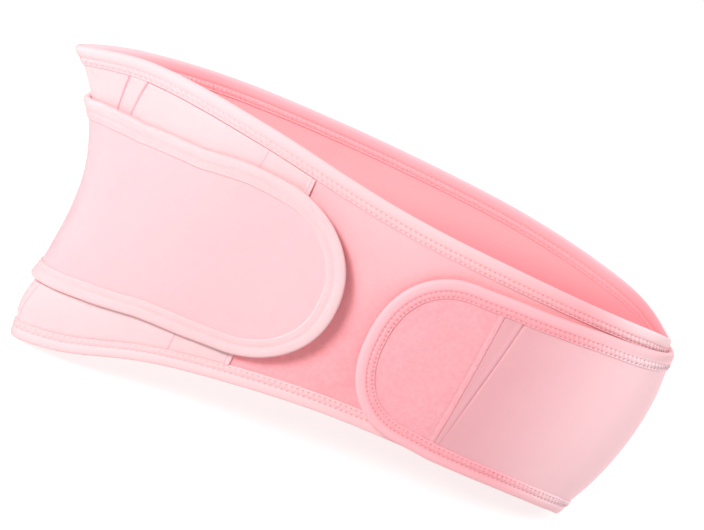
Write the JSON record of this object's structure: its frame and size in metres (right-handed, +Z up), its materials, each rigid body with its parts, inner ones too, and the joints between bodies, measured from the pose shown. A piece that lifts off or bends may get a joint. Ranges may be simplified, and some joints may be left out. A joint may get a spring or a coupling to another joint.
{
  "type": "maternity support belt",
  "caption": "Soft support belt for pregnancy, closed in a loop, with bound edges and two round-ended side wings that wrap onto the front.",
  "frame": {"origin": "middle of the footprint, on the floor under the belt", "axes": "+X along the long way of the loop to the belt's low rounded fold, -Y the front where the wings end, +Z up the belt's height"},
  "size_m": [0.472, 0.1416, 0.2226],
  "materials": {
    "velour": "brushed loop velour, matte",
    "pale_panel": "smooth pale knit, matte",
    "binding": "knitted edge tape, matte",
    "wing_knit": "smooth knit, matte",
    "wing_binding": "knitted edge tape, matte",
    "wing_velour": "brushed loop velour, matte",
    "wing_elastic": "close elastic weave, matte",
    "hook_tape": "fine hook tape, matte"
  },
  "bodies": {
    "root": {"main_band": "velour", "left_side_panel": "pale_panel", "top_binding": "binding", "bottom_binding": "binding", "left_wing": "wing_knit", "left_wing_binding": "wing_binding", "left_hook_patch": "hook_tape", "right_wing_tip": "wing_velour", "right_wing": "wing_elastic", "right_wing_binding": "wing_binding", "right_hook_patch": "hook_tape"}
  },
  "joints": []
}
